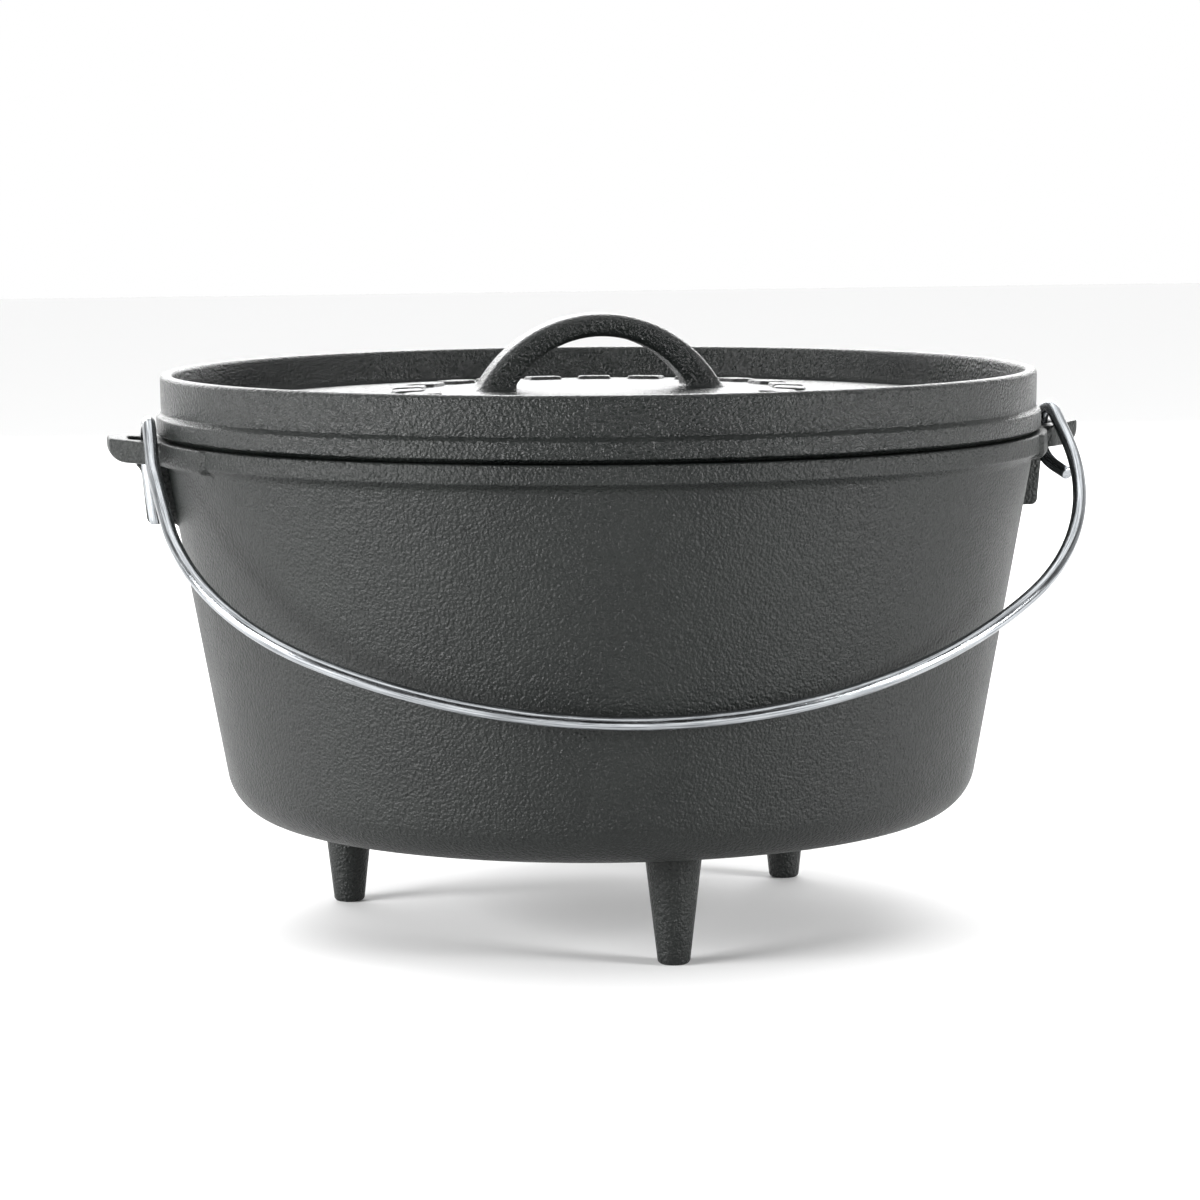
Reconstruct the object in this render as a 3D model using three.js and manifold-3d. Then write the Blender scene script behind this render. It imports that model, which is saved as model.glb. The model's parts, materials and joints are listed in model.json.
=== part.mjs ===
// A camp dutch oven of cast iron: a pot on three legs, a flanged lid that holds coals, and a wire bail.
// Millimetres, +Z up. The origin is on the ground under the pot's axis, and the ears lie along X.

import * as THREE from 'three';
import { mergeVertices } from 'three/addons/utils/BufferGeometryUtils.js';
import Module from 'manifold-3d';

const wasm = await Module();
wasm.setup();

const degrees = THREE.MathUtils.degToRad;

// Pot casting
const POT_FLOOR_Z = 38.7; // underside of the pot, held up by the legs
const POT_RIM_Z = 173.8; // flat top of the rim
const WALL_FOOT_R = 130.7; // outer wall carried down to the underside
const WALL_SLOPE = 0.18; // outward lean of the wall, radius over height
const WALL_THICKNESS = 5;
const FLOOR_THICKNESS = 6;
const BOTTOM_ROUND_R = 18.6;
const INNER_ROUND_R = 14;
const FLARE_Z = 157; // the wall starts to flare out to the rim band here
const RIM_BAND_R = 157.4;
const RIM_BAND_Z = 167.6; // lower edge of the rim band
const FLARE_BEND_R = 153.5; // where the flare turns out towards the rim band
const FLARE_BEND_Z = 165.4;
const RIM_EDGE = 0.8;

// Legs
const LEG_COUNT = 3;
const LEG_CIRCLE_R = 96.2;
const FIRST_LEG_ANGLE = 275; // degrees about Z; the leg pattern is turned a little from the ears
const LEG_TOP_R = 9.9;
const LEG_TIP_R = 5.4;
const LEG_TIP_ROUND = 1.6;
const LEG_ROOT_Z = POT_FLOOR_Z + 3;

// Ears: a tab level with the rim, with a hole, on a rib, and a thicker stretch of rim at its root
const EAR_TIP_X = 174;
const EAR_ROOT_X = 152.5;
const EAR_SHOULDER_X = 161;
const EAR_HALF_WIDTH = 23;
const EAR_TIP_HALF_WIDTH = 6;
const EAR_CORNER_X = 172; // the slanting sides start to round into the tip here
const EAR_CORNER_HALF_WIDTH = 10.4;
const EAR_PEAK_HALF_WIDTH = 8.4; // the slanting sides aim here on the tip's line
const EAR_THICKNESS = 7.8;
const EAR_RISE = 1.15; // the tab's top climbs this much from the rim to its tip
const EAR_LOWER_ROUND = 6;
const EAR_EDGE = 0.8;
const EAR_BLEND_X = 157;
const HOLE_INNER_X = 157.6;
const HOLE_OUTER_X = 166.6;
const HOLE_HALF_WIDTH = 10.2;
const HOLE_ROUND = 4;
const HOLE_LOW_Z = 165.2; // the hole notches the rib down to here, so that the bail can lie back over it
const RIB_HALF_WIDTH = 3.3;
const RIB_OUTER_X = 162.4;
const RIB_FOOT_X = 160.4;
const RIB_FOOT_Z = 144;
const RIB_FOOT_ROUND = 2.2;
const RIB_HEAD_X = 168; // the rib spreads out to here under the tab
const RIB_HEAD_DROP = 5;
const RIB_OVERLAP = 1.5; // how far the rib reaches up into the tab
const ROOT_BLOCK_R = 158.7;
const ROOT_BLOCK_HALF_ANGLE = 23;
const ROOT_BLOCK_LOW_Z = 164.6;
const ROOT_BLOCK_ROUND = 2.2;

// Lid casting
const SEAT_Z = POT_RIM_Z + 0.3; // the lid rests on the rim
const SEAT_OUTER_R = 154.3;
const SKIRT_R = 156.5;
const SKIRT_BOTTOM_Z = 175.6;
const SKIRT_TOP_Z = 181.2;
const FLANGE_R = 155;
const FLANGE_FOOT_Z = 182.3;
const FLANGE_TOP_Z = 195.9;
const FLANGE_THICKNESS = 4.2;
const FLANGE_FOOT_THICKNESS = 5.6;
const TRAY_EDGE_R = 147;
const TRAY_EDGE_Z = 183.7;
const CROWN_Z = 189.5; // top of the domed plate at the middle
const PLATE_THICKNESS = 5;
const LOCATING_RIB_OUTER_R = 147.6;
const LOCATING_RIB_INNER_R = 143.4;
const LOCATING_RIB_Z = 168.8;
const LOCATING_RIB_DRAFT = 0.4;
const LID_EDGE = 0.8;
const TRAY_ROUND = 2;

// Lid handle: an arch along X between two circles
const HANDLE_TOP_Z = 215.5;
const HANDLE_OUTER_R = 49.6;
const HANDLE_INNER_R = 36;
const HANDLE_BAND = 8;
const HANDLE_DEPTH = 18;
const HANDLE_ROUND = 2.5;
const HANDLE_FOOT_Z = 185.2;

// Bail: round wire, drawn in its own plane, with a hook round the front bar of each ear hole
const WIRE_R = 2.38;
const HINGE_Y = -16.6;
const HINGE_Z = 170.1;
const HOOK_R = 10.4; // wire centre to hinge axis
const HOOK_X = 160.4; // half width of the bail inside the ear holes
const BAIL_LEAN = degrees(53.3); // from straight down towards -Y, when the bow rests on the wall
const HOOK_TURN = Math.PI - BAIL_LEAN;
const RIGHT_STRAND_X = 161.3; // the right hook opens out to here in front of its ear
const LEFT_LEAD = 14; // straight stretch that passes through the hole when the bail is thrown back
const LEFT_SPLAY = degrees(6.4); // the bow is bent by hand, so its two sides differ
const LEFT_STRAIGHT = 22.7;
const LEFT_CORNER_R = 95.9;
const LEFT_CORNER_TURN = degrees(49.6);
const BOW_MIDDLE_R = 197.2;
const BOW_MIDDLE_TURN = degrees(78.1);
const RIGHT_CORNER_R = 101.5;
const RIGHT_SPLAY = degrees(4.7);
const LEFT_TAIL_END = new THREE.Vector3(-157.6, HINGE_Y + HOOK_R, 144.6);
const RIGHT_TAIL_END = new THREE.Vector3(167, -20, 156.4);
const RIGHT_TAIL_HEADING = new THREE.Vector3(0.35, -0.85, -0.4);
const TAIL_EASE = 7;
const RIGHT_TAIL_EASE = 10;

// Fineness of the facets
const ROUND_SEGMENTS = 64;
const LEG_SEGMENTS = 24;
const ARC_DIVISIONS = 6;
const LEG_ROUND_DIVISIONS = 3;
const LID_EDGE_DIVISIONS = 4;
const DOME_RINGS = 6;
const HANDLE_DIVISIONS = 14;
const WIRE_SIDES = 8;
const WIRE_STEPS = 170;
const WELD = 1e-4;
const PAST = 5; // how far a tool solid reaches past the faces it meets

const CAST_IRON = { color: 0x3a3a38, roughness: 0.55, metalness: 0.6 };
const BRIGHT_WIRE = { color: 0xb4b6b6, roughness: 0.3, metalness: 1 };

// ---- solids ----

function solidOf(geometry) {
  const bare = geometry.clone();
  bare.deleteAttribute('normal');
  bare.deleteAttribute('uv');
  const merged = mergeVertices(bare, WELD);
  const corners = merged.index.array;
  const triangles = [];
  for (let i = 0; i < corners.length; i += 3) {
    const [a, b, c] = corners.slice(i, i + 3);
    if (a !== b && b !== c && c !== a) triangles.push(a, b, c);
  }
  const vertProperties = Float32Array.from(merged.attributes.position.array);
  const triVerts = Uint32Array.from(triangles);
  return new wasm.Manifold(new wasm.Mesh({ numProp: 3, vertProperties, triVerts }));
}

function geometryOf(solid) {
  const mesh = solid.getMesh();
  const geometry = new THREE.BufferGeometry();
  geometry.setAttribute('position', new THREE.BufferAttribute(mesh.vertProperties, 3));
  geometry.setIndex(new THREE.BufferAttribute(mesh.triVerts, 1));
  geometry.computeVertexNormals();
  return geometry;
}

// A body of revolution about Z from a profile of (radius, height) points.
function turned(profile, segments = ROUND_SEGMENTS) {
  return new THREE.LatheGeometry(profile, segments).rotateX(Math.PI / 2);
}

// A plate with its outline in X and Y, between two heights.
function plate(shape, low, high) {
  const settings = { depth: high - low, bevelEnabled: false, curveSegments: ARC_DIVISIONS };
  return new THREE.ExtrudeGeometry(shape, settings).translate(0, 0, low);
}

// A web with its outline in X and Z, as wide as given and centred on Y = 0.
function web(shape, width, bevel = {}) {
  const settings = { depth: width, bevelEnabled: false, curveSegments: ARC_DIVISIONS, ...bevel };
  return new THREE.ExtrudeGeometry(shape, settings).translate(0, 0, -width / 2).rotateX(Math.PI / 2);
}

// ---- pot ----

const wallRadius = (z) => WALL_FOOT_R + WALL_SLOPE * (z - POT_FLOOR_Z);

function potProfile() {
  const lean = Math.atan(WALL_SLOPE);
  const outerRoundZ = POT_FLOOR_Z + BOTTOM_ROUND_R;
  const outerRoundX = wallRadius(outerRoundZ) - BOTTOM_ROUND_R / Math.cos(lean);
  const insideFloorZ = POT_FLOOR_Z + FLOOR_THICKNESS;
  const innerRoundZ = insideFloorZ + INNER_ROUND_R;
  const innerRoundX = wallRadius(innerRoundZ) - WALL_THICKNESS - INNER_ROUND_R / Math.cos(lean);
  const profile = new THREE.Path();
  profile.moveTo(0, POT_FLOOR_Z);
  profile.lineTo(outerRoundX, POT_FLOOR_Z);
  profile.absarc(outerRoundX, outerRoundZ, BOTTOM_ROUND_R, -Math.PI / 2, -lean, false);
  profile.lineTo(wallRadius(FLARE_Z), FLARE_Z);
  profile.quadraticCurveTo(FLARE_BEND_R, FLARE_BEND_Z, RIM_BAND_R, RIM_BAND_Z);
  profile.lineTo(RIM_BAND_R, POT_RIM_Z - RIM_EDGE);
  profile.lineTo(RIM_BAND_R - RIM_EDGE, POT_RIM_Z);
  profile.lineTo(wallRadius(POT_RIM_Z) - WALL_THICKNESS, POT_RIM_Z);
  profile.absarc(innerRoundX, innerRoundZ, INNER_ROUND_R, -lean, -Math.PI / 2, true);
  profile.lineTo(0, insideFloorZ);
  return profile.getPoints(ARC_DIVISIONS);
}

function leg(index) {
  const angle = degrees(FIRST_LEG_ANGLE + (index * 360) / LEG_COUNT);
  const taper = (LEG_TOP_R - LEG_TIP_R) / POT_FLOOR_Z;
  const profile = new THREE.Path();
  profile.moveTo(0, 0);
  profile.lineTo(LEG_TIP_R - LEG_TIP_ROUND, 0);
  profile.quadraticCurveTo(LEG_TIP_R, 0, LEG_TIP_R + taper * LEG_TIP_ROUND, LEG_TIP_ROUND);
  profile.lineTo(LEG_TOP_R, POT_FLOOR_Z);
  profile.lineTo(LEG_TOP_R, LEG_ROOT_Z);
  profile.lineTo(0, LEG_ROOT_Z);
  const geometry = turned(profile.getPoints(LEG_ROUND_DIVISIONS), LEG_SEGMENTS);
  return geometry.translate(LEG_CIRCLE_R * Math.cos(angle), LEG_CIRCLE_R * Math.sin(angle), 0);
}

function earPlan() {
  const shape = new THREE.Shape();
  shape.moveTo(EAR_ROOT_X, -EAR_HALF_WIDTH);
  shape.lineTo(EAR_SHOULDER_X, -EAR_HALF_WIDTH);
  shape.lineTo(EAR_CORNER_X, -EAR_CORNER_HALF_WIDTH);
  shape.quadraticCurveTo(EAR_TIP_X, -EAR_PEAK_HALF_WIDTH, EAR_TIP_X, -EAR_TIP_HALF_WIDTH);
  shape.lineTo(EAR_TIP_X, EAR_TIP_HALF_WIDTH);
  shape.quadraticCurveTo(EAR_TIP_X, EAR_PEAK_HALF_WIDTH, EAR_CORNER_X, EAR_CORNER_HALF_WIDTH);
  shape.lineTo(EAR_SHOULDER_X, EAR_HALF_WIDTH);
  shape.lineTo(EAR_ROOT_X, EAR_HALF_WIDTH);
  return shape;
}

function earSide() {
  const underside = POT_RIM_Z - EAR_THICKNESS;
  const shape = new THREE.Shape();
  shape.moveTo(EAR_ROOT_X - PAST, underside);
  shape.lineTo(EAR_TIP_X - EAR_LOWER_ROUND, underside + EAR_RISE / 2);
  shape.quadraticCurveTo(EAR_TIP_X, underside + EAR_RISE, EAR_TIP_X, underside + EAR_LOWER_ROUND);
  shape.lineTo(EAR_TIP_X, POT_RIM_Z + EAR_RISE - EAR_EDGE);
  shape.lineTo(EAR_TIP_X - EAR_EDGE, POT_RIM_Z + EAR_RISE);
  shape.lineTo(EAR_BLEND_X, POT_RIM_Z);
  shape.lineTo(EAR_ROOT_X - PAST, POT_RIM_Z);
  return shape;
}

function holePlan() {
  const roundX = HOLE_OUTER_X - HOLE_ROUND;
  const roundY = HOLE_HALF_WIDTH - HOLE_ROUND;
  const shape = new THREE.Shape();
  shape.moveTo(HOLE_INNER_X, -HOLE_HALF_WIDTH);
  shape.lineTo(roundX, -HOLE_HALF_WIDTH);
  shape.absarc(roundX, -roundY, HOLE_ROUND, -Math.PI / 2, 0, false);
  shape.absarc(roundX, roundY, HOLE_ROUND, 0, Math.PI / 2, false);
  shape.lineTo(HOLE_INNER_X, HOLE_HALF_WIDTH);
  return shape;
}

function ribSide() {
  const tabUnderside = POT_RIM_Z - EAR_THICKNESS;
  const insideWall = WALL_THICKNESS / 2;
  const shape = new THREE.Shape();
  shape.moveTo(wallRadius(RIB_FOOT_Z) - insideWall, RIB_FOOT_Z);
  shape.lineTo(RIB_FOOT_X - RIB_FOOT_ROUND, RIB_FOOT_Z);
  shape.quadraticCurveTo(RIB_FOOT_X, RIB_FOOT_Z, RIB_FOOT_X, RIB_FOOT_Z + RIB_FOOT_ROUND);
  shape.lineTo(RIB_OUTER_X, tabUnderside - RIB_HEAD_DROP);
  shape.quadraticCurveTo(RIB_OUTER_X, tabUnderside, RIB_HEAD_X, tabUnderside);
  shape.lineTo(RIB_HEAD_X, tabUnderside + RIB_OVERLAP);
  shape.lineTo(wallRadius(tabUnderside) - insideWall, tabUnderside + RIB_OVERLAP);
  return shape;
}

function rootBlock() {
  const innerR = wallRadius(RIM_BAND_Z) - WALL_THICKNESS / 2;
  const profile = [
    new THREE.Vector2(innerR, ROOT_BLOCK_LOW_Z),
    new THREE.Vector2(ROOT_BLOCK_R - ROOT_BLOCK_ROUND, ROOT_BLOCK_LOW_Z + ROOT_BLOCK_ROUND / 2),
    new THREE.Vector2(ROOT_BLOCK_R, RIM_BAND_Z),
    new THREE.Vector2(ROOT_BLOCK_R, POT_RIM_Z - RIM_EDGE),
    new THREE.Vector2(ROOT_BLOCK_R - RIM_EDGE, POT_RIM_Z),
    new THREE.Vector2(innerR, POT_RIM_Z),
    new THREE.Vector2(innerR, ROOT_BLOCK_LOW_Z),
  ];
  const far = 2 * ROOT_BLOCK_R;
  const spread = far * Math.tan(degrees(ROOT_BLOCK_HALF_ANGLE));
  const wedge = new THREE.Shape();
  wedge.moveTo(0, 0);
  wedge.lineTo(far, -spread);
  wedge.lineTo(far, spread);
  return solidOf(turned(profile)).intersect(solidOf(plate(wedge, POT_FLOOR_Z, POT_RIM_Z + PAST)));
}

function ear(turn) {
  const outline = solidOf(plate(earPlan(), RIB_FOOT_Z, POT_RIM_Z + EAR_RISE + PAST));
  const tab = outline.intersect(solidOf(web(earSide(), 2 * (EAR_HALF_WIDTH + PAST))));
  const rib = solidOf(web(ribSide(), 2 * RIB_HALF_WIDTH));
  const hole = solidOf(plate(holePlan(), HOLE_LOW_Z, POT_RIM_Z + PAST));
  return tab.add(rootBlock()).add(rib).subtract(hole).rotate([0, 0, turn]);
}

function pot() {
  let solid = solidOf(turned(potProfile()));
  for (let i = 0; i < LEG_COUNT; i += 1) solid = solid.add(solidOf(leg(i)));
  for (const turn of [0, 180]) solid = solid.add(ear(turn));
  return geometryOf(solid);
}

// ---- lid ----

const crownDrop = (CROWN_Z - TRAY_EDGE_Z) / TRAY_EDGE_R ** 2;
const plateTop = (r) => CROWN_Z - crownDrop * r * r;

function lidProfile() {
  const points = [];
  for (let i = 0; i <= DOME_RINGS; i += 1) {
    const r = (i / DOME_RINGS) * LOCATING_RIB_INNER_R;
    points.push(new THREE.Vector2(r, plateTop(r) - PLATE_THICKNESS));
  }
  const lipR = FLANGE_THICKNESS / 2; // the flange's top edge is fully rounded
  const trayCornerR = FLANGE_R - FLANGE_FOOT_THICKNESS;
  const edge = new THREE.Path();
  edge.moveTo(LOCATING_RIB_INNER_R + LOCATING_RIB_DRAFT, LOCATING_RIB_Z);
  edge.lineTo(LOCATING_RIB_OUTER_R - LID_EDGE, LOCATING_RIB_Z);
  edge.lineTo(LOCATING_RIB_OUTER_R, LOCATING_RIB_Z + LID_EDGE);
  edge.lineTo(LOCATING_RIB_OUTER_R, SEAT_Z);
  edge.lineTo(SEAT_OUTER_R, SEAT_Z);
  edge.lineTo(SKIRT_R, SKIRT_BOTTOM_Z);
  edge.lineTo(SKIRT_R, SKIRT_TOP_Z);
  edge.lineTo(FLANGE_R, FLANGE_FOOT_Z);
  edge.lineTo(FLANGE_R, FLANGE_TOP_Z - lipR);
  edge.absarc(FLANGE_R - lipR, FLANGE_TOP_Z - lipR, lipR, 0, Math.PI, false);
  edge.lineTo(trayCornerR, TRAY_EDGE_Z + TRAY_ROUND);
  edge.quadraticCurveTo(trayCornerR, TRAY_EDGE_Z, TRAY_EDGE_R, TRAY_EDGE_Z);
  points.push(...edge.getPoints(LID_EDGE_DIVISIONS));
  for (let i = DOME_RINGS - 1; i >= 0; i -= 1) {
    const r = (i / DOME_RINGS) * TRAY_EDGE_R;
    points.push(new THREE.Vector2(r, plateTop(r)));
  }
  return points;
}

function handle() {
  const outerZ = HANDLE_TOP_Z - HANDLE_OUTER_R;
  const innerZ = HANDLE_TOP_Z - HANDLE_BAND - HANDLE_INNER_R;
  const outerFoot = Math.asin((HANDLE_FOOT_Z - outerZ) / HANDLE_OUTER_R);
  const innerFoot = Math.asin((HANDLE_FOOT_Z - innerZ) / HANDLE_INNER_R);
  const shape = new THREE.Shape();
  shape.absarc(0, outerZ, HANDLE_OUTER_R, outerFoot, Math.PI - outerFoot, false);
  shape.absarc(0, innerZ, HANDLE_INNER_R, Math.PI - innerFoot, innerFoot, true);
  const bevel = {
    bevelEnabled: true,
    bevelSize: HANDLE_ROUND,
    bevelOffset: -HANDLE_ROUND,
    bevelThickness: HANDLE_ROUND,
    bevelSegments: 1,
    curveSegments: HANDLE_DIVISIONS,
  };
  return web(shape, HANDLE_DEPTH - 2 * HANDLE_ROUND, bevel);
}

function lid() {
  return geometryOf(solidOf(turned(lidProfile())).add(solidOf(handle())));
}

// ---- bail ----

class ArcCurve extends THREE.Curve {
  // A circular arc about centre, from angle start to angle end, measured from axis u towards axis v.
  // The right hook's arc also slides along X, to meet the bow where it leaves the hook.
  constructor(centre, u, v, radius, start, end, slide = 0) {
    super();
    Object.assign(this, { centre, u, v, radius, start, end, slide });
  }

  getPoint(t, target = new THREE.Vector3()) {
    const angle = this.start + t * (this.end - this.start);
    target.copy(this.centre);
    target.x += this.slide * (angle / HOOK_TURN) ** 2;
    target.addScaledVector(this.u, this.radius * Math.cos(angle));
    return target.addScaledVector(this.v, this.radius * Math.sin(angle));
  }
}

// The bow, from the left hook to the right one, as runs that each carry on from the end of the last.
// Headings are angles in the bail's plane, from straight away from the hooks towards +X.
function bowRuns(inPlane, left, along) {
  const runs = [];
  const here = new THREE.Vector2(-HOOK_X, 0);
  let heading = 0;
  const goTo = (x, a) => {
    runs.push(new THREE.LineCurve3(inPlane(here.x, here.y), inPlane(x, a)));
    here.set(x, a);
  };
  const bend = (radius, turn) => {
    const x = here.x + radius * Math.cos(heading);
    const a = here.y - radius * Math.sin(heading);
    runs.push(new ArcCurve(inPlane(x, a), left, along, radius, heading, heading + turn));
    heading += turn;
    here.set(x - radius * Math.cos(heading), a + radius * Math.sin(heading));
  };
  goTo(here.x, LEFT_LEAD);
  bend(LEFT_CORNER_R, LEFT_SPLAY);
  goTo(here.x + LEFT_STRAIGHT * Math.sin(heading), here.y + LEFT_STRAIGHT * Math.cos(heading));
  bend(LEFT_CORNER_R, LEFT_CORNER_TURN);
  bend(BOW_MIDDLE_R, BOW_MIDDLE_TURN);
  bend(RIGHT_CORNER_R, Math.PI + RIGHT_SPLAY - heading);
  goTo(RIGHT_STRAND_X, 0);
  return runs;
}

function bailPath() {
  const across = new THREE.Vector3(1, 0, 0);
  const back = new THREE.Vector3(0, 1, 0);
  const up = new THREE.Vector3(0, 0, 1);
  const along = new THREE.Vector3(0, -Math.sin(BAIL_LEAN), -Math.cos(BAIL_LEAN));
  const hinge = new THREE.Vector3(0, HINGE_Y, HINGE_Z);
  const front = new THREE.Vector3(0, -Math.cos(BAIL_LEAN), Math.sin(BAIL_LEAN));
  const start = hinge.clone().addScaledVector(front, HOOK_R);
  // A point of the bail's plane: x across, a along it from the hooks.
  const inPlane = (x, a) => start.clone().addScaledVector(across, x).addScaledVector(along, a);

  const leftHook = hinge.clone().setX(-HOOK_X);
  const rightHook = hinge.clone().setX(HOOK_X);
  const leftDrop = leftHook.clone().addScaledVector(back, HOOK_R);
  const rightDrop = rightHook.clone().addScaledVector(back, HOOK_R);

  const path = new THREE.CurvePath();
  const leftEase = leftDrop.clone().addScaledVector(up, -TAIL_EASE);
  path.add(new THREE.QuadraticBezierCurve3(LEFT_TAIL_END, leftEase, leftDrop));
  path.add(new ArcCurve(leftHook, back, up, HOOK_R, 0, HOOK_TURN));
  for (const run of bowRuns(inPlane, across.clone().negate(), along)) path.add(run);
  path.add(new ArcCurve(rightHook, back, up, HOOK_R, HOOK_TURN, 0, RIGHT_STRAND_X - HOOK_X));
  const rightEase = rightDrop.clone().addScaledVector(up, -RIGHT_TAIL_EASE);
  const rightLead = RIGHT_TAIL_END.clone().addScaledVector(RIGHT_TAIL_HEADING, -TAIL_EASE);
  path.add(new THREE.CubicBezierCurve3(rightDrop, rightEase, rightLead, RIGHT_TAIL_END));
  return path;
}

function bail() {
  const section = new THREE.Shape();
  for (let i = 0; i < WIRE_SIDES; i += 1) {
    const angle = (i * 2 * Math.PI) / WIRE_SIDES;
    const point = [WIRE_R * Math.cos(angle), WIRE_R * Math.sin(angle)];
    if (i === 0) section.moveTo(...point);
    else section.lineTo(...point);
  }
  const settings = { steps: WIRE_STEPS, extrudePath: bailPath() };
  return geometryOf(solidOf(new THREE.ExtrudeGeometry(section, settings)));
}

// ---- the object ----

const oven = new THREE.Group();

function addPart(name, geometry, finish) {
  const mesh = new THREE.Mesh(geometry, new THREE.MeshStandardMaterial(finish));
  mesh.name = name;
  oven.add(mesh);
}

addPart('pot', pot(), CAST_IRON);
addPart('lid', lid(), CAST_IRON);
addPart('bail', bail(), BRIGHT_WIRE);

export default oven;
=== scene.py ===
"""A cast iron camp dutch oven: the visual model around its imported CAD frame.

Shapes are worked out in millimetres in the frame's own axes and turned to metres when a mesh is made.
"""

import json
import math
from itertools import product

import bpy
import numpy as np
from mathutils import Matrix, Vector

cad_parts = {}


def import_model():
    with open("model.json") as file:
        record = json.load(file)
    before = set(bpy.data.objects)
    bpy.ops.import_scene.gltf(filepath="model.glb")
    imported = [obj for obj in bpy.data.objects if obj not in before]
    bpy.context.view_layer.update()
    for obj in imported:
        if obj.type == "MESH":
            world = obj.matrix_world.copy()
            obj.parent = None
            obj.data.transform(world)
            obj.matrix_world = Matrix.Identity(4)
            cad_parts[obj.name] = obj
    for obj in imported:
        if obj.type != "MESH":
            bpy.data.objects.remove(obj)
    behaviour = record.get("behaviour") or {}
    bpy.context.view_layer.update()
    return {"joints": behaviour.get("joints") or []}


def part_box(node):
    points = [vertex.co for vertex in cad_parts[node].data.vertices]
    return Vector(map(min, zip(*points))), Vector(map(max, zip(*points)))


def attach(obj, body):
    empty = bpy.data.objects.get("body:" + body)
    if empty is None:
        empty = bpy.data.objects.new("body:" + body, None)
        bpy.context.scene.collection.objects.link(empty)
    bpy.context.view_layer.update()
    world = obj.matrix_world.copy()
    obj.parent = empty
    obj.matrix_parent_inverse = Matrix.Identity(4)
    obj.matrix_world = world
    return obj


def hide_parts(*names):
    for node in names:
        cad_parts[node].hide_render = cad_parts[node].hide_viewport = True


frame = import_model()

MM = 0.001


def box_mm(node):
    low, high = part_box(node)
    return np.array(low) / MM, np.array(high) / MM


pot_low, pot_high = box_mm("pot")
lid_low, lid_high = box_mm("lid")
swing = next(j for j in frame["joints"] if j["name"] == "bail_swing")
HINGE_Y, HINGE_Z = (value / MM for value in swing["pos_m"][1:])

# Pot, in mm
FLOOR_Z = 38.7
RIM_Z = 173.8
WALL_FOOT_R = 130.7
WALL_SLOPE = 0.18
WALL = 5.0
FLOOR = 6.0
BOTTOM_ROUND = 18.6
INNER_ROUND = 14.0
FLARE_Z = 157.0
FLARE_END_Z = 165.4
BAND_R = pot_high[1]
BAND_Z = 167.6

# Legs
LEG_CIRCLE_R = 96.2
LEG_ANGLES = (275, 35, 155)
LEG_TOP_R = 9.9
LEG_TIP_R = 5.4
LEG_TIP_ROUND = 1.6
LEG_ROOT_FILLET = 2.0

# Ears
EAR_TIP_X = pot_high[0]
EAR_SHOULDER_X = 161.0
EAR_HALF_WIDTH = 23.0
EAR_TIP_HALF_WIDTH = 8.1
EAR_THICKNESS = 7.8
EAR_TOP_Z = pot_high[2]
EAR_BLEND_X = 157.0
HOLE_INNER_X = 157.6
HOLE_OUTER_X = 166.6
HOLE_HALF_WIDTH = 10.2
HOLE_LOW_Z = 165.2
RIB_HALF_WIDTH = 3.3
RIB_FOOT_X = 160.4
RIB_FOOT_Z = 144.0
RIB_OUTER_X = 162.4
RIB_CORNER_Z = 164.6
RIB_HEAD_X = 169.0
RIB_HEAD_LOW_Z = 166.6
RIB_TOP_Z = 168.0
NET_STEP = 0.7
PATCH_HALF_WIDTH = 64.0
PATCH_LOW_Z = 138.0
PATCH_DEPTH = 3.5  # how far into the wall the ear's patch reaches
WALL_SIDE_LOW_Z = 120.0
WALL_INSET = 0.05  # the ear patch's wall lies this far inside the turned wall
EAR_INNER_X = 140.0  # inside the wall, where the ear's outlines are closed
BLOCK_R = 158.7
BLOCK_HALF_ANGLE = 23.0
BLOCK_LOW_Z = 165.6

# Lid
SEAT_Z = 174.1
SEAT_R = 154.3
SKIRT_R = lid_high[1]
SKIRT_LOW_Z = 175.6
SKIRT_TOP_Z = 181.2
FLANGE_R = 155.0
FLANGE_TOP_Z = 195.9
FLANGE_INNER_R = 150.8
TRAY_EDGE_R = 149.4
TRAY_EDGE_Z = 183.7
TRAY_ROUND = 2.6
CROWN_Z = 189.5
DOME_EDGE_R = 147.0
PLATE = 5.0
LOCATING_R = 147.6
LOCATING_INNER_R = 143.4
LOCATING_Z = lid_low[2]

# Lid handle
HANDLE_TOP_Z = lid_high[2]
HANDLE_OUTER_R = 49.6
HANDLE_INNER_R = 36.0
HANDLE_BAND = 8.0
HANDLE_HALF_DEPTH = 9.0

# Raised bars on the lid
BAR_COUNT = 22
BAR_RING_R = 68.0
BAR_HALF_LENGTH = 6.2
BAR_HALF_WIDTH = 5.6
BAR_HEIGHT = 1.2

# Bail
WIRE_R = 2.38
HOOK_R = 10.4
HOOK_X = 160.4
LEAN = math.radians(53.3)
HOOK_TURN = math.pi - LEAN
RIGHT_STRAND_X = 161.3
LEFT_LEAD = 14.0
LEFT_SPLAY = math.radians(6.4)
LEFT_STRAIGHT = 22.7
LEFT_CORNER_R = 95.9
LEFT_CORNER_TURN = math.radians(49.6)
BOW_MIDDLE_R = 197.2
BOW_MIDDLE_TURN = math.radians(78.1)
RIGHT_CORNER_R = 101.5
RIGHT_SPLAY = math.radians(4.7)
LEFT_TAIL_END = np.array([-157.6, HINGE_Y + HOOK_R, 144.6])
RIGHT_TAIL_END = np.array([167.0, -20.0, 156.4])
RIGHT_TAIL_HEADING = np.array([0.35, -0.85, -0.4])
TAIL_EASE = 7.0

SEGMENTS = 360

# Light
FRONT_GLOW = 0.03
BACK_GLOW = 1.3


# ---- meshes from numpy arrays ----


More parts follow.
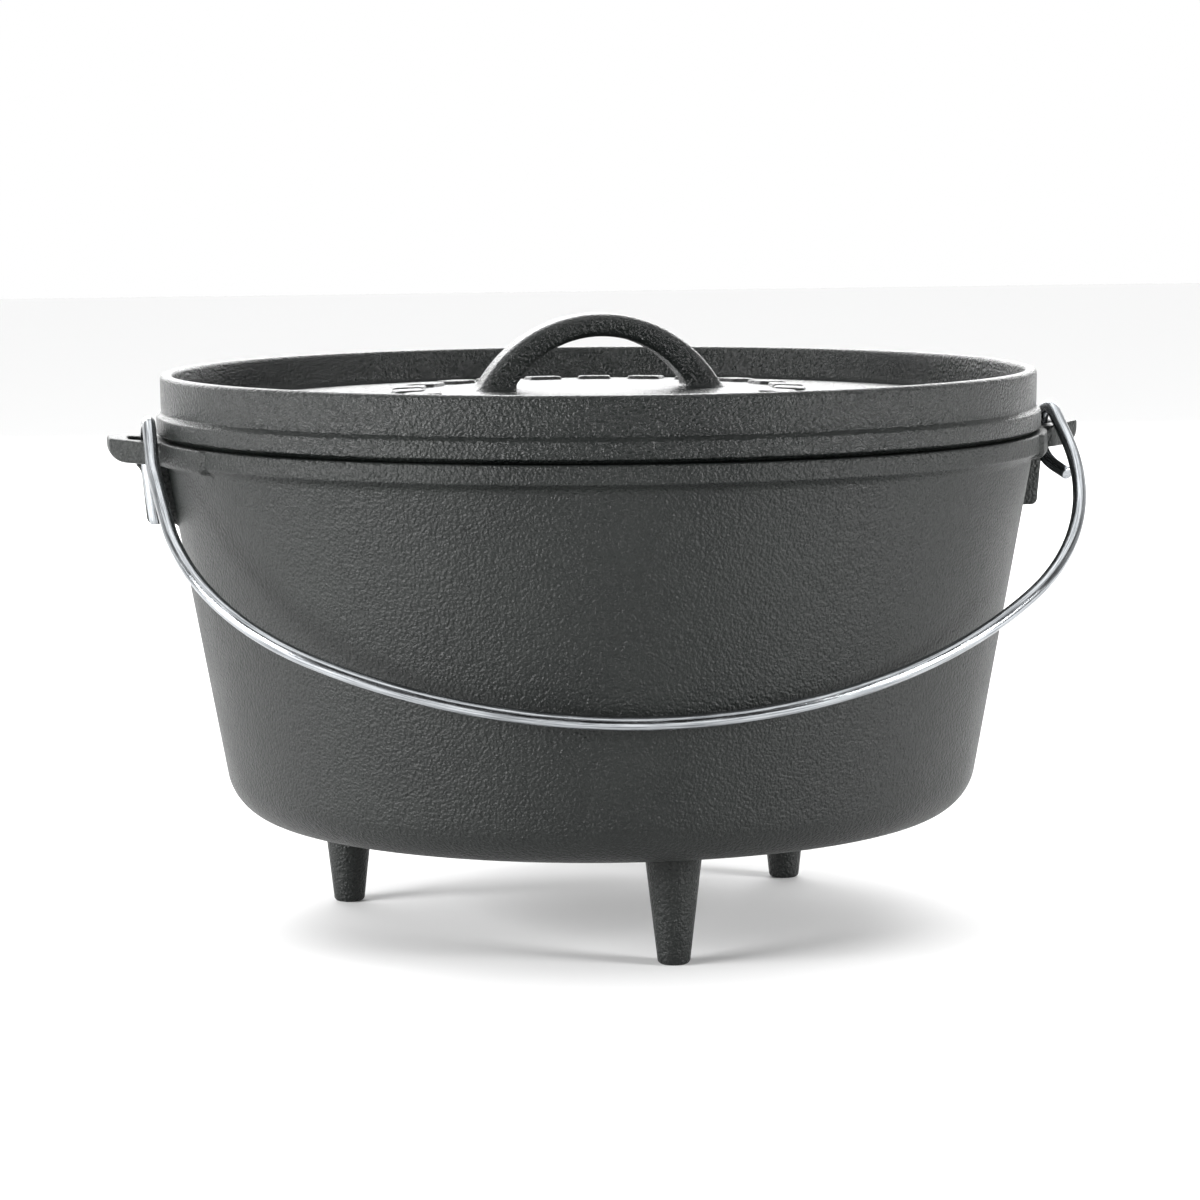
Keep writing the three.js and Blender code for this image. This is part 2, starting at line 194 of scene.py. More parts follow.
def make_piece(name, parts, body, material):
    """One object from (points in mm, faces) parts, riding on a body."""
    points, faces, start = [], [], 0
    for part_points, part_faces in parts:
        points.append(np.asarray(part_points, float))
        faces.extend([[corner + start for corner in face] for face in part_faces])
        start += len(part_points)
    mesh = bpy.data.meshes.new(name)
    mesh.from_pydata((np.vstack(points) * MM).tolist(), [], faces)
    mesh.validate()
    mesh.shade_smooth()
    mesh.materials.append(material)
    piece = bpy.data.objects.new(name, mesh)
    bpy.context.scene.collection.objects.link(piece)
    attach(piece, body)
    return piece


def rounded_outline(corners, closed=False, arc_step=0.7):
    """An outline through (x, y, fillet radius) corners, with each fillet as a fine arc."""
    outline = []
    count = len(corners)
    for i, (x, y, radius) in enumerate(corners):
        here = np.array([x, y], float)
        if radius == 0 or (not closed and i in (0, count - 1)):
            outline.append(here)
            continue
        to_last = np.array(corners[i - 1][:2]) - here
        to_next = np.array(corners[(i + 1) % count][:2]) - here
        to_last = to_last / np.linalg.norm(to_last)
        to_next = to_next / np.linalg.norm(to_next)
        half = math.acos(np.clip(to_last @ to_next, -1, 1)) / 2
        middle = (to_last + to_next) / np.linalg.norm(to_last + to_next)
        centre = here + middle * radius / math.sin(half)
        first = here + to_last * radius / math.tan(half) - centre
        last = here + to_next * radius / math.tan(half) - centre
        sweep = math.pi - 2 * half
        steps = max(4, math.ceil(radius * sweep / arc_step))
        sign = 1.0 if first[0] * last[1] - first[1] * last[0] > 0 else -1.0
        for k in range(steps + 1):
            angle = sign * sweep * k / steps
            cos, sin = math.cos(angle), math.sin(angle)
            turned = np.array([cos * first[0] - sin * first[1], sin * first[0] + cos * first[1]])
            outline.append(centre + turned)
    return np.array(outline)


def refined(outline, longest):
    """The same outline with its long straight stretches divided."""
    points = [outline[0]]
    for a, b in zip(outline[:-1], outline[1:]):
        pieces = max(1, math.ceil(np.linalg.norm(b - a) / longest))
        points.extend(a + (b - a) * k / pieces for k in range(1, pieces + 1))
    return np.array(points)


def turned_body(profile, segments=SEGMENTS, centre=(0.0, 0.0)):
    """A closed body of revolution about Z from an open (radius, height) profile that ends on the axis."""
    angles = np.arange(segments) * 2 * math.pi / segments
    ring_cos, ring_sin = np.cos(angles), np.sin(angles)
    points = [[centre[0], centre[1], profile[0][1]]]
    for radius, height in profile[1:-1]:
        heights = np.full(segments, height)
        points.extend(np.stack([centre[0] + radius * ring_cos, centre[1] + radius * ring_sin, heights], 1))
    points.append([centre[0], centre[1], profile[-1][1]])
    rings = len(profile) - 2
    faces = []
    for j in range(segments):
        after = (j + 1) % segments
        faces.append([0, 1 + after, 1 + j])
        for i in range(rings - 1):
            low, high = 1 + i * segments, 1 + (i + 1) * segments
            faces.append([low + j, low + after, high + after, high + j])
        top = 1 + (rings - 1) * segments
        faces.append([top + j, top + after, len(points) - 1])
    return np.array(points), faces


def spun(part, degrees):
    """A part turned about Z."""
    points, faces = part
    cos, sin = math.cos(math.radians(degrees)), math.sin(math.radians(degrees))
    turn = np.array([[cos, -sin, 0], [sin, cos, 0], [0, 0, 1]])
    return points @ turn.T, faces


# ---- shapes given by a signed distance, negative inside ----


def join(a, b, fillet):
    rounded = np.hypot(np.maximum(fillet - a, 0), np.maximum(fillet - b, 0))
    return np.maximum(fillet, np.minimum(a, b)) - rounded


def cut(a, b, edge):
    rounded = np.hypot(np.maximum(edge + a, 0), np.maximum(edge + b, 0))
    return np.minimum(-edge, np.maximum(a, b)) + rounded


def outline_field(x, y, outline):
    nearest = np.full(x.shape, 1e9)
    inside = np.zeros(x.shape, bool)
    for (ax, ay), (bx, by) in zip(outline, np.roll(outline, -1, axis=0)):
        ex, ey = bx - ax, by - ay
        length = ex * ex + ey * ey
        if length < 1e-12:
            continue
        along = np.clip(((x - ax) * ex + (y - ay) * ey) / length, 0, 1)
        nearest = np.minimum(nearest, (x - ax - ex * along) ** 2 + (y - ay - ey * along) ** 2)
        if ey != 0:
            crossing = (ay > y) != (by > y)
            inside ^= crossing & (x < ax + (y - ay) * ex / ey)
    return np.where(inside, -1.0, 1.0) * np.sqrt(nearest)


def surface_net(field, low, high, step):
    """Quads on the zero level of a field inside a box, pulled onto that level."""
    axes = [np.arange(a, b + step, step) for a, b in zip(low, high)]
    grid = np.stack(np.meshgrid(*axes, indexing="ij"), -1)
    values = field(grid.reshape(-1, 3)).reshape(grid.shape[:3])
    cells = tuple(n - 1 for n in values.shape)

    def corner(offset):
        return tuple(slice(o, o + c) for o, c in zip(offset, cells))

    inside = values < 0
    filled = sum(inside[corner(o)].astype(int) for o in product((0, 1), repeat=3))
    mixed = (filled > 0) & (filled < 8)
    number = np.full(cells, -1)
    number[mixed] = np.arange(mixed.sum())
    total, hits = np.zeros(cells + (3,)), np.zeros(cells)
    for axis in range(3):
        for o in product((0, 1), repeat=3):
            if o[axis]:
                continue
            other = list(o)
            other[axis] = 1
            va, vb = values[corner(o)], values[corner(other)]
            changes = (va < 0) != (vb < 0)
            share = np.where(changes, va / np.where(changes, va - vb, 1), 0)
            start, end = grid[corner(o)], grid[corner(other)]
            total += np.where(changes[..., None], start + share[..., None] * (end - start), 0)
            hits += changes
    points = total[mixed] / hits[mixed][:, None]
    for _ in range(4):
        points = points - pull(field, points, step)
    faces = []
    for axis in range(3):
        u, v = (axis + 1) % 3, (axis + 2) % 3
        here = [slice(1, -1)] * 3
        here[axis] = slice(0, -1)
        there = list(here)
        there[axis] = slice(1, None)
        a, b = inside[tuple(here)], inside[tuple(there)]
        found = np.argwhere(a != b)
        outward = a[a != b]
        base = found + np.array([0 if k == axis else 1 for k in range(3)])
        quad = []
        for du, dv in ((0, 0), (1, 0), (1, 1), (0, 1)):
            cell = base.copy()
            cell[:, u] -= du
            cell[:, v] -= dv
            quad.append(number[tuple(cell.T)])
        quads = np.stack(quad, 1)
        faces.extend(np.where(outward[:, None], quads, quads[:, ::-1]).tolist())
    return points, faces


def pull(field, points, step):
    """How far each point moves to reach the zero level, capped at half a step."""
    reach = 0.02
    value = field(points)
    slope = np.stack(
        [(field(points + reach * e) - field(points - reach * e)) / (2 * reach) for e in np.eye(3)], 1
    )
    move = value[:, None] * slope / np.maximum((slope**2).sum(1), 0.1)[:, None]
    length = np.linalg.norm(move, axis=1, keepdims=True)
    return move * np.minimum(1, 0.5 * step / np.maximum(length, 1e-9))


# ---- pot ----


def wall_radius(z):
    return WALL_FOOT_R + WALL_SLOPE * (z - FLOOR_Z)


def pot_shell():
    corners = [
        (0, FLOOR_Z, 0),
        (WALL_FOOT_R, FLOOR_Z, BOTTOM_ROUND),
        (wall_radius(FLARE_Z), FLARE_Z, 40),
        (wall_radius(BAND_Z) - 0.4, FLARE_END_Z, 3.5),
        (BAND_R, BAND_Z, 0.9),
        (BAND_R, RIM_Z, 0.9),
        (wall_radius(RIM_Z) - WALL, RIM_Z, 1.2),
        (wall_radius(FLOOR_Z + FLOOR) - WALL, FLOOR_Z + FLOOR, INNER_ROUND),
        (0, FLOOR_Z + FLOOR, 0),
    ]
    return turned_body(refined(rounded_outline(corners), 8.0))


def leg(angle):
    corners = [
        (0, 0, 0),
        (LEG_TIP_R, 0, LEG_TIP_ROUND),
        (LEG_TOP_R, FLOOR_Z, LEG_ROOT_FILLET),
        (LEG_TOP_R + 2 * LEG_ROOT_FILLET, FLOOR_Z, 0.5),
        (LEG_TOP_R + 2 * LEG_ROOT_FILLET, FLOOR_Z + 1, 0.2),
        (0, FLOOR_Z + 1, 0),
    ]
    turn = math.radians(angle)
    centre = (LEG_CIRCLE_R * math.cos(turn), LEG_CIRCLE_R * math.sin(turn))
    return turned_body(refined(rounded_outline(corners, arc_step=0.4), 4.0), 72, centre)


EAR_PLAN = rounded_outline(
    [
        (EAR_INNER_X, -EAR_HALF_WIDTH, 0),
        (EAR_SHOULDER_X, -EAR_HALF_WIDTH, 3),
        (EAR_TIP_X, -EAR_TIP_HALF_WIDTH, 4),
        (EAR_TIP_X, EAR_TIP_HALF_WIDTH, 4),
        (EAR_SHOULDER_X, EAR_HALF_WIDTH, 3),
        (EAR_INNER_X, EAR_HALF_WIDTH, 0),
    ],
    closed=True,
)
EAR_LOWER_SIDE = rounded_outline(
    [
        (EAR_INNER_X, RIM_Z - EAR_THICKNESS, 0),
        (EAR_TIP_X, RIM_Z - EAR_THICKNESS + 0.8, 6),
        (EAR_TIP_X, RIM_Z + 20, 0),
        (EAR_INNER_X, RIM_Z + 20, 0),
    ],
    closed=True,
)
HOLE_PLAN = rounded_outline(
    [
        (HOLE_INNER_X, -HOLE_HALF_WIDTH, 1),
        (HOLE_OUTER_X, -HOLE_HALF_WIDTH, 4),
        (HOLE_OUTER_X, HOLE_HALF_WIDTH, 4),
        (HOLE_INNER_X, HOLE_HALF_WIDTH, 1),
    ],
    closed=True,
)
RIB_SIDE = rounded_outline(
    [
        (146, RIB_FOOT_Z, 0),
        (RIB_FOOT_X, RIB_FOOT_Z, 2.2),
        (RIB_OUTER_X, RIB_CORNER_Z, 5),
        (RIB_HEAD_X, RIB_HEAD_LOW_Z, 0),
        (RIB_HEAD_X, RIB_TOP_Z, 0),
        (146, RIB_TOP_Z, 0),
    ],
    closed=True,
)
WALL_SIDE = rounded_outline(
    [
        (wall_radius(WALL_SIDE_LOW_Z) - PATCH_DEPTH, WALL_SIDE_LOW_Z, 0),
        (wall_radius(WALL_SIDE_LOW_Z), WALL_SIDE_LOW_Z, 0),
        (wall_radius(FLARE_Z), FLARE_Z, 40),
        (wall_radius(BAND_Z) - 0.4, FLARE_END_Z, 3.5),
        (BAND_R, BAND_Z, 0.9),
        (BAND_R, RIM_Z + 20, 0),
        (wall_radius(BAND_Z) - PATCH_DEPTH, RIM_Z + 20, 0),
    ],
    closed=True,
)


def ear_field(points):
    x, y, z = points.T
    radius = np.hypot(x, y)
    tab = cut(outline_field(x, y, EAR_PLAN), outline_field(x, z, EAR_LOWER_SIDE), 1.0)
    half = math.radians(BLOCK_HALF_ANGLE)
    sides = np.abs(y) * math.cos(half) - x * math.sin(half)
    block = cut(cut(radius - BLOCK_R, BLOCK_LOW_Z - z, 2.0), sides, 1.2)
    rib = cut(outline_field(x, z, RIB_SIDE), np.abs(y) - RIB_HALF_WIDTH, 1.2)
    hole = cut(outline_field(x, y, HOLE_PLAN), HOLE_LOW_Z - z, 0.8)
    ear = join(join(tab, block, 1.0), rib, 1.8)
    ear = join(ear, outline_field(radius, z, WALL_SIDE) + WALL_INSET, 2.0)
    ear = cut(ear, -hole, 0.6)
    climb = (EAR_TOP_Z - RIM_Z) * np.clip((x - EAR_BLEND_X) / (EAR_TIP_X - EAR_BLEND_X), 0, 1)
    ear = cut(ear, z - RIM_Z - 0.02 - climb, 0.8)
    patch = np.maximum(np.abs(y) - PATCH_HALF_WIDTH, PATCH_LOW_Z - z)
    return np.maximum(np.maximum(ear, patch), wall_radius(z) - PATCH_DEPTH - radius)


def pot(material):
    ear = surface_net(ear_field, (138, -66, 136), (EAR_TIP_X + 1.5, 66, 177), NET_STEP)
    parts = [pot_shell(), *(leg(a) for a in LEG_ANGLES), ear, spun(ear, 180)]
    piece = make_piece("pot_casting", parts, "pot", material)
    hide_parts("pot")


# ---- lid ----


def dome(radius):
    return CROWN_Z - (CROWN_Z - TRAY_EDGE_Z) * (radius / DOME_EDGE_R) ** 2


def lid_shell():
    underside = [(r, dome(r) - PLATE) for r in np.linspace(0, LOCATING_INNER_R, 24)[:-1]]
    inner = LOCATING_INNER_R
    corners = [
        (underside[-1][0], underside[-1][1], 0),
        (inner, dome(inner) - PLATE, 2.0),
        (inner + 0.4, LOCATING_Z, 1.0),
        (LOCATING_R, LOCATING_Z, 1.2),
        (LOCATING_R, SEAT_Z, 0.8),
        (SEAT_R, SEAT_Z, 0.6),
        (SKIRT_R, SKIRT_LOW_Z, 0.8),
        (SKIRT_R, SKIRT_TOP_Z, 1.1),
        (FLANGE_R - 0.35, SKIRT_TOP_Z + 1.5, 0.7),
        (FLANGE_R - 0.15, SKIRT_TOP_Z + 3.2, 6),
        (FLANGE_R, FLANGE_TOP_Z, 1.9),
        (FLANGE_INNER_R, FLANGE_TOP_Z, 1.7),
        (TRAY_EDGE_R, TRAY_EDGE_Z, TRAY_ROUND),
        (DOME_EDGE_R - 4, dome(DOME_EDGE_R - 4), 0),
    ]
    edge = refined(rounded_outline(corners, arc_step=0.35), 5.0)
    top = [(r, dome(r)) for r in np.linspace(DOME_EDGE_R - 4, 0, 25)[1:]]
    return turned_body(np.array([*underside[:-1], *edge, *top]))


def handle_field(points):
    x, y, z = points.T
    plate_top = dome(np.hypot(x, y)) - 0.05
    outer = np.hypot(x, z - HANDLE_TOP_Z + HANDLE_OUTER_R) - HANDLE_OUTER_R
    inner = HANDLE_INNER_R - np.hypot(x, z - HANDLE_TOP_Z + HANDLE_BAND + HANDLE_INNER_R)
    arch = cut(cut(outer, np.abs(y) - HANDLE_HALF_DEPTH, 3.6), inner, 2.4)
    plate = np.maximum(np.abs(x) - 54, np.abs(y) - 14)
    plate = np.maximum(plate, z - plate_top)
    return np.maximum(join(arch, plate, 2.2), plate_top - 3 - z)


def raised_bar(angle):
    """A low pad with rounded corners and soft edges, lying on the domed plate."""
    plan = rounded_outline(
        [
            (-BAR_HALF_LENGTH, -BAR_HALF_WIDTH, 2),
            (BAR_HALF_LENGTH, -BAR_HALF_WIDTH, 2),
            (BAR_HALF_LENGTH, BAR_HALF_WIDTH, 2),
            (-BAR_HALF_LENGTH, BAR_HALF_WIDTH, 2),
        ],
        closed=True,
    )
    steps = [(1.06, -0.4), (1.06, 0.0), (0.99, 0.3), (0.96, 0.8), (0.93, 1.05), (0.86, BAR_HEIGHT)]
    count = len(plan)
    points = []
    for share, height in steps:
        for across, along in plan * share:
            radius = BAR_RING_R + along
            points.append([across, -radius, dome(math.hypot(across, radius)) + height])
    points.append([0, -BAR_RING_R, dome(BAR_RING_R) + BAR_HEIGHT])
    points.append([0, -BAR_RING_R, dome(BAR_RING_R) - 0.4])
    faces = []
    for j in range(count):
        after = (j + 1) % count
        for i in range(len(steps) - 1):
            low, high = i * count, (i + 1) * count
            faces.append([low + after, low + j, high + j, high + after])
        top = (len(steps) - 1) * count
        faces.append([top + after, top + j, len(points) - 2])
        faces.append([j, after, len(points) - 1])
    return spun((np.array(points), faces), angle)


def lid(material):
    handle = surface_net(handle_field, (-56, -16, 180), (56, 16, HANDLE_TOP_Z + 1.5), NET_STEP)
    bars = [raised_bar(360 * (k + 0.5) / BAR_COUNT) for k in range(BAR_COUNT)]
    piece = make_piece("lid_casting", [lid_shell(), handle, *bars], "lid", material)
    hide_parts("lid")


# ---- bail ----

ACROSS = np.array([1.0, 0, 0])
BACK = np.array([0, 1.0, 0])
UP = np.array([0, 0, 1.0])


def arc(centre, u, v, radius, start, end, slide=0.0):
    """Points round a centre; the right hook also slides along X as it turns."""
    steps = max(6, math.ceil(abs(end - start) * radius / 1.5))
    angles = np.linspace(start, end, steps + 1)[:, None]
    sideways = slide * (angles / HOOK_TURN) ** 2 * ACROSS
    return centre + sideways + radius * (np.cos(angles) * u + np.sin(angles) * v)


def bow_runs(in_plane, along):
    """The bow as runs in the bail's plane, each carrying on from the end and the heading of the last."""
    right_turn = math.pi + RIGHT_SPLAY - LEFT_SPLAY - LEFT_CORNER_TURN - BOW_MIDDLE_TURN
    bends = [
        (LEFT_LEAD, LEFT_CORNER_R, LEFT_SPLAY),
        (LEFT_STRAIGHT, LEFT_CORNER_R, LEFT_CORNER_TURN),
        (0.0, BOW_MIDDLE_R, BOW_MIDDLE_TURN),
        (0.0, RIGHT_CORNER_R, right_turn),
    ]
    x, a, heading, runs = -HOOK_X, 0.0, 0.0, []
    for length, radius, turn in bends:
        if length:
            next_x, next_a = x + length * math.sin(heading), a + length * math.cos(heading)
            runs.append(np.linspace(in_plane(x, a), in_plane(next_x, next_a), 8))
            x, a = next_x, next_a
        centre_x, centre_a = x + radius * math.cos(heading), a - radius * math.sin(heading)
        runs.append(arc(in_plane(centre_x, centre_a), -ACROSS, along, radius, heading, heading + turn))
        heading += turn
        x, a = centre_x - radius * math.cos(heading), centre_a + radius * math.sin(heading)
    runs.append(np.linspace(in_plane(x, a), in_plane(RIGHT_STRAND_X, 0), 6))
    return runs


def bezier(*controls):
    t = np.linspace(0, 1, 21)[:, None]
    degree = len(controls) - 1
    weights = [math.comb(degree, k) * t**k * (1 - t) ** (degree - k) for k in range(degree + 1)]
    return sum(w * c for w, c in zip(weights, controls))


def bail_path():
    along = np.array([0, -math.sin(LEAN), -math.cos(LEAN)])
    hinge = np.array([0, HINGE_Y, HINGE_Z])
    start = hinge + HOOK_R * np.array([0, -math.cos(LEAN), math.sin(LEAN)])

    def in_plane(x, a):
        return start + x * ACROSS + a * along

    left, right = hinge - HOOK_X * ACROSS, hinge + HOOK_X * ACROSS
    left_drop, right_drop = left + HOOK_R * BACK, right + HOOK_R * BACK
    right_lead = RIGHT_TAIL_END - TAIL_EASE * RIGHT_TAIL_HEADING
    runs = [
        bezier(LEFT_TAIL_END, left_drop - TAIL_EASE * UP, left_drop),
        arc(left, BACK, UP, HOOK_R, 0, HOOK_TURN),
        *bow_runs(in_plane, along),
        arc(right, BACK, UP, HOOK_R, HOOK_TURN, 0, RIGHT_STRAND_X - HOOK_X),
        bezier(right_drop, right_drop - (TAIL_EASE + 3) * UP, right_lead, RIGHT_TAIL_END),
    ]
    return np.vstack([runs[0], *(run[1:] for run in runs[1:])])


def wire(path, radius, sides=24):
    """A round wire along a path, with its cut ends lightly rounded, and UVs along and around it."""
    tangents = np.gradient(path, axis=0)
    tangents /= np.linalg.norm(tangents, axis=1, keepdims=True)
    gaps = np.linalg.norm(np.diff(path, axis=0), axis=1)
    travelled = np.concatenate([[0], np.cumsum(gaps)])
    side = np.cross(tangents[0], ACROSS)
    side /= np.linalg.norm(side)
    frames = []
    for tangent in tangents:
        side = side - (side @ tangent) * tangent
        side /= np.linalg.norm(side)
        frames.append((side, np.cross(tangent, side)))
    rings = []
    for share, depth in ((0.55, 0.0), (0.82, 0.08), (0.95, 0.3)):
        rings.append((path[0] + depth * tangents[0], frames[0], radius * share, depth))
    for i in range(1, len(path) - 1):
        rings.append((path[i], frames[i], radius, travelled[i]))
    for share, depth in ((0.95, 0.3), (0.82, 0.08), (0.55, 0.0)):
        rings.append((path[-1] - depth * tangents[-1], frames[-1], radius * share, travelled[-1] - depth))
    points, along = [], []
    for centre, (u, v), r, s in rings:
        for k in range(sides):
            angle = 2 * math.pi * k / sides
            points.append(centre + r * (math.cos(angle) * u + math.sin(angle) * v))
            along.append(s)
    faces = []
    for i in range(len(rings) - 1):
        for k in range(sides):
            after = (k + 1) % sides
            low, high = i * sides, (i + 1) * sides
            faces.append([low + k, low + after, high + after, high + k])
    faces.append(list(range(sides))[::-1])
    faces.append([(len(rings) - 1) * sides + k for k in range(sides)])
    return (np.array(points), faces), np.array(along), sides


def bail(material):
    part, along, sides = wire(bail_path(), WIRE_R)
    piece = make_piece("bail_wire", [part], "bail", material)
    mesh = piece.data
    layer = mesh.uv_layers.new(name="wire")
    for face in mesh.polygons:
        spokes = [mesh.loops[i].vertex_index % sides for i in face.loop_indices]
        wraps = 0 in spokes and sides - 1 in spokes
        for i, spoke in zip(face.loop_indices, spokes):
            turn = sides if wraps and spoke == 0 else spoke
            layer.data[i].uv = (along[mesh.loops[i].vertex_index] / 100, turn / sides)
    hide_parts("bail")


# ---- materials ----


class Nodes:
    """A short way to write a material's node tree."""

    def __init__(self, name):
        self.material = bpy.data.materials.new(name)
        self.material.use_nodes = True
        self.tree = self.material.node_tree
        self.shader = self.tree.nodes["Principled BSDF"]

    def add(self, kind, inputs=None, **settings):
        node = self.tree.nodes.new(kind)
        for key, value in settings.items():
            setattr(node, key, value)
        for key, value in (inputs or {}).items():
            if isinstance(value, bpy.types.NodeSocket):
                self.tree.links.new(value, node.inputs[key])
            else:
                node.inputs[key].default_value = value
        return node

    def math(self, operation, a, b=0.0):
        return self.add("ShaderNodeMath", {0: a, 1: b}, operation=operation).outputs[0]

    def ramp(self, value, stops):
        node = self.add("ShaderNodeValToRGB", {"Fac": value})
        elements = node.color_ramp.elements
        for element, (position, colour) in zip(elements, (stops[0], stops[-1])):
            element.position = position
            element.color = (*colour, 1)
        for position, colour in stops[1:-1]:
            elements.new(position).color = (*colour, 1)
        return node.outputs["Color"]

    def feed(self, socket, value):
        self.tree.links.new(value, self.shader.inputs[socket])


def cast_iron():
    """Seasoned cast iron: near black, with a pebbled sand-cast skin, glossier on the lid than on the pot."""
    n = Nodes("seasoned_cast_iron")
    place = n.add("ShaderNodeTexCoord").outputs["Object"]
    grains = n.add(
        "ShaderNodeTexVoronoi",
        {"Vector": place, "Scale": 1000, "Smoothness": 0.8},
        feature="SMOOTH_F1",
    )
    pebbles = n.add("ShaderNodeTexNoise", {"Vector": place, "Scale": 900, "Detail": 3, "Roughness": 0.6})
    waves = n.add("ShaderNodeTexNoise", {"Vector": place, "Scale": 60, "Detail": 3})
    patches = n.add("ShaderNodeTexNoise", {"Vector": place, "Scale": 24, "Detail": 5, "Roughness": 0.62})
    grain = n.math("MULTIPLY", n.math("SUBTRACT", 1.0, grains.outputs["Distance"]), 0.6)
    skin_height = n.math("ADD", grain, pebbles.outputs["Fac"])
    skin = n.add("ShaderNodeBump", {"Height": skin_height, "Strength": 1.0, "Distance": 0.0007})
    rolling = n.add(
        "ShaderNodeBump",
        {
            "Height": waves.outputs["Fac"],
            "Strength": 0.1,
            "Distance": 0.001,
            "Normal": skin.outputs["Normal"],
        },
    )
    n.feed("Normal", rolling.outputs["Normal"])
    broad = n.math("MULTIPLY", patches.outputs["Fac"], 0.7)
    tone = n.math("ADD", broad, n.math("MULTIPLY", pebbles.outputs["Fac"], 0.3))
    n.feed("Base Color", n.ramp(tone, [(0.35, (0.0040, 0.0052, 0.0048)), (0.65, (0.0090, 0.0108, 0.0098))]))
    height = n.add("ShaderNodeSeparateXYZ", {"Vector": place}).outputs["Z"]
    on_lid = n.add(
        "ShaderNodeMapRange", {"Value": height, "From Min": RIM_Z * MM, "From Max": SKIRT_LOW_Z * MM}
    ).outputs["Result"]
    matt = n.math("ADD", n.math("MULTIPLY", patches.outputs["Fac"], 0.3), 0.25)
    n.feed("Roughness", n.math("SUBTRACT", matt, n.math("MULTIPLY", on_lid, 0.16)))
    n.shader.inputs["Specular IOR Level"].default_value = 0.28
    return n.material


def bright_wire():
    """Bright drawn wire, with faint streaks along it and a little soiling."""
    n = Nodes("bright_wire")
    place = n.add("ShaderNodeTexCoord").outputs["UV"]
    stretched = n.add("ShaderNodeMapping", {"Vector": place, "Scale": (5, 30, 1)}).outputs["Vector"]
    streaks = n.add("ShaderNodeTexNoise", {"Vector": stretched, "Scale": 1, "Detail": 5, "Roughness": 0.65})
    shades = [(0.38, (0.17, 0.18, 0.19)), (0.62, (0.50, 0.52, 0.54))]
    n.feed("Base Color", n.ramp(streaks.outputs["Fac"], shades))
    n.feed("Roughness", n.ramp(streaks.outputs["Fac"], [(0.35, (0.14,) * 3), (0.65, (0.28,) * 3)]))
    bump = n.add("ShaderNodeBump", {"Height": streaks.outputs["Fac"], "Strength": 0.35, "Distance": 0.0002})
    n.feed("Normal", bump.outputs["Normal"])
    n.shader.inputs["Metallic"].default_value = 1.0
    return n.material


# ---- stage, lights, camera ----


def floor():
    n = Nodes("pale_floor")
    n.shader.inputs["Base Color"].default_value = (0.86, 0.86, 0.86, 1)
    n.shader.inputs["Roughness"].default_value = 0.9
    half = 6.0
    corners = [(-half, -half, 0), (half, -half, 0), (half, half, 0), (-half, half, 0)]
    mesh = bpy.data.meshes.new("floor")
    mesh.from_pydata(corners, [], [(0, 1, 2, 3)])
    mesh.materials.append(n.material)
    plane = bpy.data.objects.new("floor", mesh)
    bpy.context.scene.collection.objects.link(plane)


def softbox(name, azimuth, elevation, distance, size, power):
    """An area light aimed at the middle of the object."""
    data = bpy.data.lights.new(name, "AREA")
    data.shape = "RECTANGLE"
    data.size, data.size_y = size
    data.energy = power
    lamp = bpy.data.objects.new(name, data)
    bpy.context.scene.collection.objects.link(lamp)
    a, e = math.radians(azimuth), math.radians(elevation)
    away = Vector((math.sin(a) * math.cos(e), -math.cos(a) * math.cos(e), math.sin(e)))
    target = Vector((0, 0, 0.11))
    lamp.location = target + away * distance
    lamp.rotation_euler = (-away).to_track_quat("-Z", "Y").to_euler()
    return lamp


def overhead(power, spread):
    """A very soft light from straight above, which keeps the floor even out to the horizon."""
    data = bpy.data.lights.new("overhead", "SUN")
    data.energy = power
    data.angle = math.radians(spread)
    lamp = bpy.data.objects.new("overhead", data)
    bpy.context.scene.collection.objects.link(lamp)


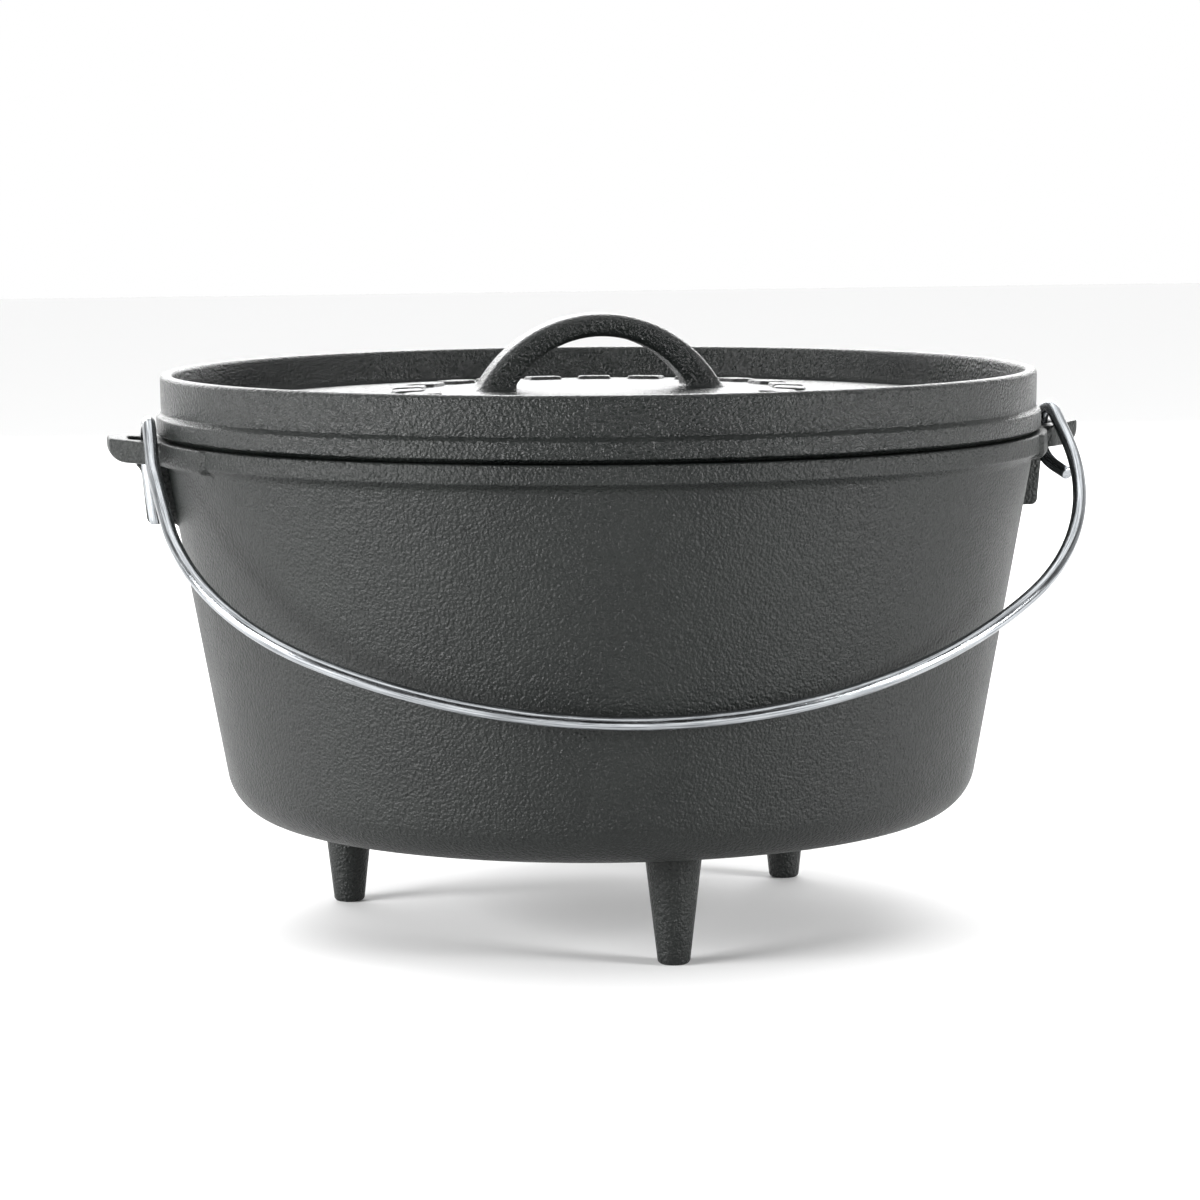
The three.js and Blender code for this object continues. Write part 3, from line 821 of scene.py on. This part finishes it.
def world():
    """An even pale backdrop that looks white, and lights the object more from behind than from the front."""
    made = bpy.data.worlds.new("studio")
    made.use_nodes = True
    tree = made.node_tree
    output = tree.nodes["World Output"]
    seen = tree.nodes["Background"]
    seen.inputs["Color"].default_value = (1, 1, 1, 1)
    seen.inputs["Strength"].default_value = 1.0
    direction = tree.nodes.new("ShaderNodeTexCoord")
    split = tree.nodes.new("ShaderNodeSeparateXYZ")
    tree.links.new(direction.outputs["Generated"], split.inputs["Vector"])
    brightness = tree.nodes.new("ShaderNodeMapRange")
    brightness.inputs["From Min"].default_value = -0.1
    brightness.inputs["From Max"].default_value = 0.9
    brightness.inputs["To Min"].default_value = FRONT_GLOW
    brightness.inputs["To Max"].default_value = BACK_GLOW
    tree.links.new(split.outputs["Y"], brightness.inputs["Value"])
    lit = tree.nodes.new("ShaderNodeBackground")
    lit.inputs["Color"].default_value = (1, 1, 1, 1)
    tree.links.new(brightness.outputs["Result"], lit.inputs["Strength"])
    path = tree.nodes.new("ShaderNodeLightPath")
    mix = tree.nodes.new("ShaderNodeMixShader")
    tree.links.new(path.outputs["Is Camera Ray"], mix.inputs["Fac"])
    tree.links.new(lit.outputs["Background"], mix.inputs[1])
    tree.links.new(seen.outputs["Background"], mix.inputs[2])
    tree.links.new(mix.outputs["Shader"], output.inputs["Surface"])
    bpy.context.scene.world = made


def camera():
    azimuth, distance, height = -9.5, 1.4318, 0.2758
    pitch, roll = 6.4855, 0.42
    data = bpy.data.cameras.new("camera")
    data.sensor_width = 36.0
    data.lens = 120.88
    made = bpy.data.objects.new("camera", data)
    bpy.context.scene.collection.objects.link(made)
    a = math.radians(azimuth)
    place = Vector((distance * math.sin(a), -distance * math.cos(a), height))
    turn = Matrix.Rotation(a, 4, "Z") @ Matrix.Rotation(math.radians(90 - pitch), 4, "X")
    turn = turn @ Matrix.Rotation(math.radians(-roll), 4, "Z")
    made.matrix_world = Matrix.Translation(place) @ turn
    bpy.context.scene.camera = made


iron = cast_iron()
pot(iron)
lid(iron)
bail(bright_wire())
floor()
world()
softbox("left_softbox", -72, 12, 1.6, (0.9, 0.6), 46)
softbox("right_softbox", 56, 12, 1.7, (0.5, 0.6), 34)
softbox("back_softbox", 176, 24, 2.2, (2.6, 1.2), 45)
overhead(2.2, 80)
camera()
bpy.context.scene.view_settings.view_transform = "Standard"
